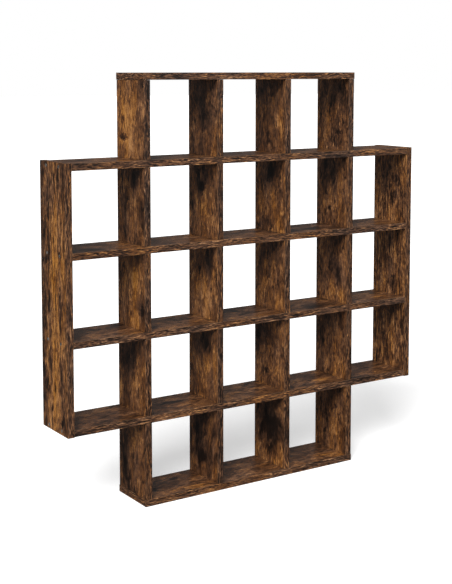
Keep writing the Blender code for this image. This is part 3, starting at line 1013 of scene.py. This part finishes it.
def smoked_oak_group():
    """Colour, roughness and height of the print, from coordinates in metres."""
    tree, given, out = new_group(
        "smoked oak",
        [("Vector", "Vector", None), ("Tone", "Float", 0.0), ("Knot", "Float", FAR),
         ("Wander", "Float", 0.02), ("Streaks", "Float", 0.7), ("Lines", "Float", 0.1),
         ("Blots", "Float", 0.34), ("Patina", "Float", 0.2), ("Mottle", "Float", 1.5),
         ("Level", "Float", 0.5), ("Richness", "Float", 1.0)],
        [("Color", "Color"), ("Roughness", "Float"), ("Height", "Float")])
    here = given["Vector"]
    fray = grain_noise(tree, here, (70, 120), 3.1, 3.0)
    ragged = calc(tree, "MULTIPLY_ADD", fray, 2.6, given["Knot"])
    pull = fade(tree, ragged, 0.4, 2.6, 0.008, 0.0)
    drift = grain_noise(tree, here, (15, 12), 7.7, 3.0)
    sway = calc(tree, "MULTIPLY_ADD", drift, given["Wander"], pull)
    offset = add(tree, "ShaderNodeCombineXYZ", {"Y": sway}).outputs[0]
    vector = add(tree, "ShaderNodeVectorMath", {0: here, 1: offset}).outputs[0]

    clouds = grain_noise(tree, vector, (6, 14), 1.3, 3.0)
    patina = fade(tree, grain_noise(tree, vector, (13, 24), 51.7, 7.0), -0.035, 0.045, -0.5, 0.5)
    streaks = grain_noise(tree, vector, (14, 130), 5.9, 4.0)
    mottle = grain_noise(tree, vector, (60, 230), 21.4, 4.0)
    fibres = grain_noise(tree, vector, (30, 600), 9.2, 3.0)
    rift = calc(tree, "ABSOLUTE", grain_noise(tree, vector, (7, 80), 12.6, 2.0))
    lines = fade(tree, rift, 0.0, 0.030, 1.0, 0.0)
    ragged_patches = grain_noise(tree, vector, (16, 34), 31.2, 8.0)
    soot = calc(tree, "MULTIPLY_ADD", given["Tone"], -0.24, ragged_patches)
    blots = fade(tree, soot, 0.105, 0.145)
    cracks = fade(tree, grain_noise(tree, vector, (20, 150), 18.8, 3.0), 0.145, 0.19)
    pores = fade(tree, grain_noise(tree, vector, (110, 2300), 15.8, 1.0), 0.10, 0.22)

    tone = calc(tree, "ADD", given["Level"], given["Tone"])
    tone = add_layers(tree, tone, [(clouds, 0.55), (patina, given["Patina"]),
                                   (streaks, given["Streaks"]), (mottle, given["Mottle"]),
                                   (fibres, 0.90)])
    for dark, amount in ((lines, "Lines"), (blots, "Blots")):
        tone = calc(tree, "SUBTRACT", tone, calc(tree, "MULTIPLY", dark, given[amount]))
    tone = add_layers(tree, tone, [(cracks, -0.42), (pores, -0.07)])
    rings = calc(tree, "MULTIPLY", calc(tree, "SINE", calc(tree, "MULTIPLY", ragged, 9.0)),
                 fade(tree, ragged, 0.9, 2.6, 0.16, 0.0))
    heart = fade(tree, ragged, 0.7, 1.4, 1.0, 0.0)
    tone = calc(tree, "MULTIPLY_ADD", heart, -0.60, calc(tree, "ADD", tone, rings))

    richness = calc(tree, "MULTIPLY_ADD", given["Tone"], 0.22, given["Richness"])
    richness = calc(tree, "MULTIPLY_ADD", grain_noise(tree, here, (7, 22), 41.0), 0.35, richness)
    inks = add(tree, "ShaderNodeGroup", node_tree=INK_GROUP)
    tree.links.new(tone, inks.inputs["Tone"])
    tree.links.new(richness, inks.inputs["Richness"])
    tree.links.new(inks.outputs["Color"], out.inputs["Color"])
    satin = calc(tree, "MULTIPLY_ADD", fibres, 0.25, inks.outputs["Roughness"])
    tree.links.new(calc(tree, "MULTIPLY_ADD", pores, 0.12, satin), out.inputs["Roughness"])
    relief = calc(tree, "MULTIPLY_ADD", streaks, 0.5, calc(tree, "MULTIPLY", fibres, 0.8))
    relief = calc(tree, "MULTIPLY_ADD", pores, -0.6, relief)
    tree.links.new(calc(tree, "MULTIPLY_ADD", cracks, -0.5, relief), out.inputs["Height"])
    return tree


OAK_GROUP = smoked_oak_group()
print("smoked oak group of", len(OAK_GROUP.nodes), "nodes")

# %% [markdown]
# ## The lined print of the edge band
# The band comes from another roll than the foil. Its print has no knots or blots, but
# parallel dark lines about 8 mm apart, which sway together along the board. A sine wave
# across the band gives the lines, and noise added to its phase makes them sway.

# %% Lined band group
LINES_PER_METRE = 125.0


def lined_band_group():
    """Colour, roughness and height: sin(2 pi (lines * v + sway)), with streaks over it."""
    tree, given, out = new_group(
        "lined band", [("Vector", "Vector", None), ("Tone", "Float", 0.0), ("Level", "Float", 0.5)],
        [("Color", "Color"), ("Roughness", "Float"), ("Height", "Float")])
    here = given["Vector"]
    across = add(tree, "ShaderNodeSeparateXYZ", {0: here}).outputs["Y"]
    phase = calc(tree, "MULTIPLY_ADD", grain_noise(tree, here, (11, 25), 2.9, 2.0), 6.0,
                 calc(tree, "MULTIPLY", across, LINES_PER_METRE))
    phase = calc(tree, "MULTIPLY_ADD", grain_noise(tree, here, (55, 90), 8.1, 3.0), 1.3, phase)
    wave = calc(tree, "SINE", calc(tree, "MULTIPLY", phase, 2 * math.pi))
    strong = fade(tree, grain_noise(tree, here, (14, 60), 33.0, 2.0), -0.12, 0.12, 0.10, 0.27)
    streaks = grain_noise(tree, here, (26, 190), 6.6, 3.0)
    mottle = grain_noise(tree, here, (70, 260), 11.2, 3.0)
    fibres = grain_noise(tree, here, (60, 900), 19.0, 2.0)
    drift = grain_noise(tree, here, (4, 9), 27.0, 2.0)
    tone = calc(tree, "ADD", given["Level"], given["Tone"])
    tone = calc(tree, "ADD", tone, calc(tree, "MULTIPLY", wave, strong))
    tone = add_layers(tree, tone, [(streaks, 1.65), (mottle, 1.20), (fibres, 0.30), (drift, 0.45)])
    richness = calc(tree, "MULTIPLY_ADD", drift, 0.5, 0.95)
    inks = add(tree, "ShaderNodeGroup", node_tree=INK_GROUP)
    tree.links.new(tone, inks.inputs["Tone"])
    tree.links.new(richness, inks.inputs["Richness"])
    tree.links.new(inks.outputs["Color"], out.inputs["Color"])
    tree.links.new(calc(tree, "MULTIPLY_ADD", fibres, 0.2, inks.outputs["Roughness"]),
                   out.inputs["Roughness"])
    tree.links.new(calc(tree, "MULTIPLY_ADD", wave, 0.25, fibres), out.inputs["Height"])
    return tree


BAND_GROUP = lined_band_group()
print("lined band group of", len(BAND_GROUP.nodes), "nodes")

# %% [markdown]
# ## Painted arris highlight
# Along the rounded arris of a banded edge the colour is painted a shade paler, a painted
# highlight where the round edge catches the light, and the roughness is lowered there. Foil
# and band share this, so it is one group: it takes a colour and a roughness and gives back
# both, changed where the "arris" number is high and some noise agrees.

# %% Painted arris highlight group


def arris_highlight_group():
    """Painted paler along the arris, a painted highlight, and smoother there, broken up along the
    grain.
    """
    tree, given, out = new_group(
        "painted arris highlight",
        [("Vector", "Vector", None), ("Arris", "Float", 0.0), ("Color", "Color", (0, 0, 0, 1)),
         ("Roughness", "Float", 0.4), ("Amount", "Float", 0.4)],
        [("Color", "Color"), ("Roughness", "Float")])
    broken = fade(tree, grain_noise(tree, given["Vector"], (28, 60), 2.2, 3.0), -0.12, 0.16)
    painted_highlight = calc(tree, "MULTIPLY", calc(tree, "MULTIPLY", given["Arris"], broken), given["Amount"])
    # Painted highlight: along the arris the colour is mixed toward this pale warm brown.
    highlight_colour = add(tree, "ShaderNodeMix", {0: painted_highlight, 6: given["Color"], 7: (0.36, 0.22, 0.12, 1.0)},
                data_type="RGBA").outputs[2]
    tree.links.new(highlight_colour, out.inputs["Color"])
    smoother = calc(tree, "MULTIPLY_ADD", painted_highlight, -0.2, given["Roughness"])
    tree.links.new(smoother, out.inputs["Roughness"])
    return tree


ARRIS_HIGHLIGHT_GROUP = arris_highlight_group()
print("painted arris highlight group ready")

# %% [markdown]
# ## The foil, the band and the core
# The shader itself stays in each material. The wide faces have the foil's print and the
# edges have the lined one. The side panels take a copy of the same foil with stronger
# streaks, which are print, and a higher level, which paints them lighter: a painted lit copy.
# The core shows only in holes and on covered ends, as pressed chips.

# %% Board materials
SATIN_GLOSS = 0.45  # the foil is a little less glossy than bare plastic


def principled(name):
    """A material by its name, its tree and its shader."""
    material = FINISH.get(name) or bpy.data.materials.new(name)
    material.use_nodes = True
    return material, material.node_tree, material.node_tree.nodes["Principled BSDF"]


def wood_material(name, print_group, relief, highlight_amount, **look):
    """A printed wood surface: the print, the painted arris highlight over it, and its relief as a
    bump.
    """
    _, tree, shader = principled(name)
    place = add(tree, "ShaderNodeUVMap", uv_map="print").outputs[0]
    oak = add(tree, "ShaderNodeGroup", node_tree=print_group)
    painted_highlight = add(tree, "ShaderNodeGroup", node_tree=ARRIS_HIGHLIGHT_GROUP)
    for socket, value in look.items():
        oak.inputs[socket].default_value = value
    for attribute, target in (("tone", oak), ("knot", oak), ("arris", painted_highlight)):
        if attribute.title() in target.inputs:
            stored = add(tree, "ShaderNodeAttribute", attribute_name=attribute)
            tree.links.new(stored.outputs["Fac"], target.inputs[attribute.title()])
    tree.links.new(place, oak.inputs["Vector"])
    tree.links.new(place, painted_highlight.inputs["Vector"])
    tree.links.new(oak.outputs["Color"], painted_highlight.inputs["Color"])
    tree.links.new(oak.outputs["Roughness"], painted_highlight.inputs["Roughness"])
    painted_highlight.inputs["Amount"].default_value = highlight_amount
    bump = add(tree, "ShaderNodeBump", {"Height": oak.outputs["Height"], "Distance": relief})
    tree.links.new(painted_highlight.outputs["Color"], shader.inputs["Base Color"])
    tree.links.new(painted_highlight.outputs["Roughness"], shader.inputs["Roughness"])
    tree.links.new(bump.outputs[0], shader.inputs["Normal"])
    shader.inputs["Specular IOR Level"].default_value = SATIN_GLOSS


def chipboard_material():
    """Pale pressed chips: cells of slightly different browns, a little rough."""
    _, tree, shader = principled("chipboard core")
    place = add(tree, "ShaderNodeTexCoord").outputs["Object"]
    chips = add(tree, "ShaderNodeTexVoronoi", {"Vector": place, "Scale": 700.0})
    tint = add(tree, "ShaderNodeValToRGB", {"Fac": chips.outputs["Color"]})
    tint.color_ramp.elements[0].color = (0.20, 0.13, 0.07, 1.0)
    tint.color_ramp.elements[1].color = (0.52, 0.38, 0.22, 1.0)
    bump = add(tree, "ShaderNodeBump", {"Height": chips.outputs["Distance"], "Distance": 0.0004})
    tree.links.new(tint.outputs["Color"], shader.inputs["Base Color"])
    tree.links.new(bump.outputs[0], shader.inputs["Normal"])
    shader.inputs["Roughness"].default_value = 0.85


# The second number in each call is the strength of the painted arris highlight.
wood_material("smoked oak foil", OAK_GROUP, 0.00025, 0.35, Level=0.52)
# The side panels' copy: stronger streaks of print, and a higher Level, which is painted light.
wood_material("painted lit oak foil", OAK_GROUP, 0.00025, 0.35, Streaks=1.90, Lines=0.22,
              Blots=0.30, Patina=0.14, Mottle=1.60, Level=0.66, Richness=1.03)
wood_material("smoked oak edge band", BAND_GROUP, 0.00030, 0.45, Level=0.455)
chipboard_material()
used = np.concatenate([[p.material_index for p in b.data.polygons] for b in boards.values()])
print("faces of foil, band and core:", np.bincount(used))

# %% [markdown]
# ## Zinc-plated steel
# Screws and plates are steel with a thin coat of zinc, grey with a cold tint and small
# cloudy stains. A screw's head shows turning marks in rings, which follow its own
# coordinates. The plate is rolled sheet, with long faint scratches.

# %% Steel materials


def zinc_group():
    """Colour and roughness of zinc: clouds of bluish and yellowish grey, and stains."""
    tree, given, out = new_group("zinc coat", [("Vector", "Vector", None)],
                                 [("Color", "Color"), ("Roughness", "Float")])
    clouds = grain_noise(tree, given["Vector"], (180, 180), 1.0, 3.0)
    tint = add(tree, "ShaderNodeValToRGB", {"Fac": calc(tree, "ADD", clouds, 0.5)})
    tint.color_ramp.elements[0].color = (0.22, 0.22, 0.23, 1.0)
    tint.color_ramp.elements[1].color = (0.50, 0.48, 0.45, 1.0)
    tint.color_ramp.elements[0].position, tint.color_ramp.elements[1].position = 0.3, 0.7
    tree.links.new(tint.outputs["Color"], out.inputs["Color"])
    tree.links.new(fade(tree, clouds, -0.2, 0.2, 0.30, 0.48), out.inputs["Roughness"])
    return tree


def steel_material(name, mark_scale, marks_from, metallic):
    """Zinc-coated steel with fine marks, read from the piece's UV map or from its place."""
    material, tree, shader = principled(name)
    here = add(tree, "ShaderNodeTexCoord").outputs["Object"]
    zinc = add(tree, "ShaderNodeGroup", {"Vector": here}, node_tree=ZINC_GROUP)
    place = add(tree, "ShaderNodeUVMap", uv_map="print").outputs[0] if marks_from == "UV" else here
    scaled = add(tree, "ShaderNodeVectorMath", {0: place, 1: mark_scale}, operation="MULTIPLY")
    marks = add(tree, "ShaderNodeTexNoise", {"Vector": scaled.outputs[0], "Scale": 1.0})
    bump = add(tree, "ShaderNodeBump", {"Height": marks.outputs[0], "Distance": 0.00006})
    tree.links.new(zinc.outputs["Color"], shader.inputs["Base Color"])
    tree.links.new(zinc.outputs["Roughness"], shader.inputs["Roughness"])
    tree.links.new(bump.outputs[0], shader.inputs["Normal"])
    shader.inputs["Metallic"].default_value = metallic
    return material


ZINC_GROUP = zinc_group()
turned_steel = steel_material("turned zinc steel", (3.0, 5200.0, 1.0), "UV", 0.85)
sheet_steel = steel_material("zinc sheet", (2600.0, 2600.0, 160.0), "Object", 0.6)
for node, piece in metal_pieces.items():
    piece.data.materials.clear()
    piece.data.materials.append(sheet_steel if node.startswith("wall") else turned_steel)
    piece.data.polygons.foreach_set("material_index", np.zeros(len(piece.data.polygons), int))
print("steel on", len(metal_pieces), "pieces")

# %% [markdown]
# ## Tie every piece to the frame
# Nothing moves on this unit, so every piece rides on the one body, "root". Each new piece
# stands for its CAD node, which is hidden.

# %% Ride and replace
for node, piece in {**boards, **metal_pieces}.items():
    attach(piece, "root")
    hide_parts(node)
print(len(boards) + len(metal_pieces), "pieces stand for", len(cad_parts), "nodes")
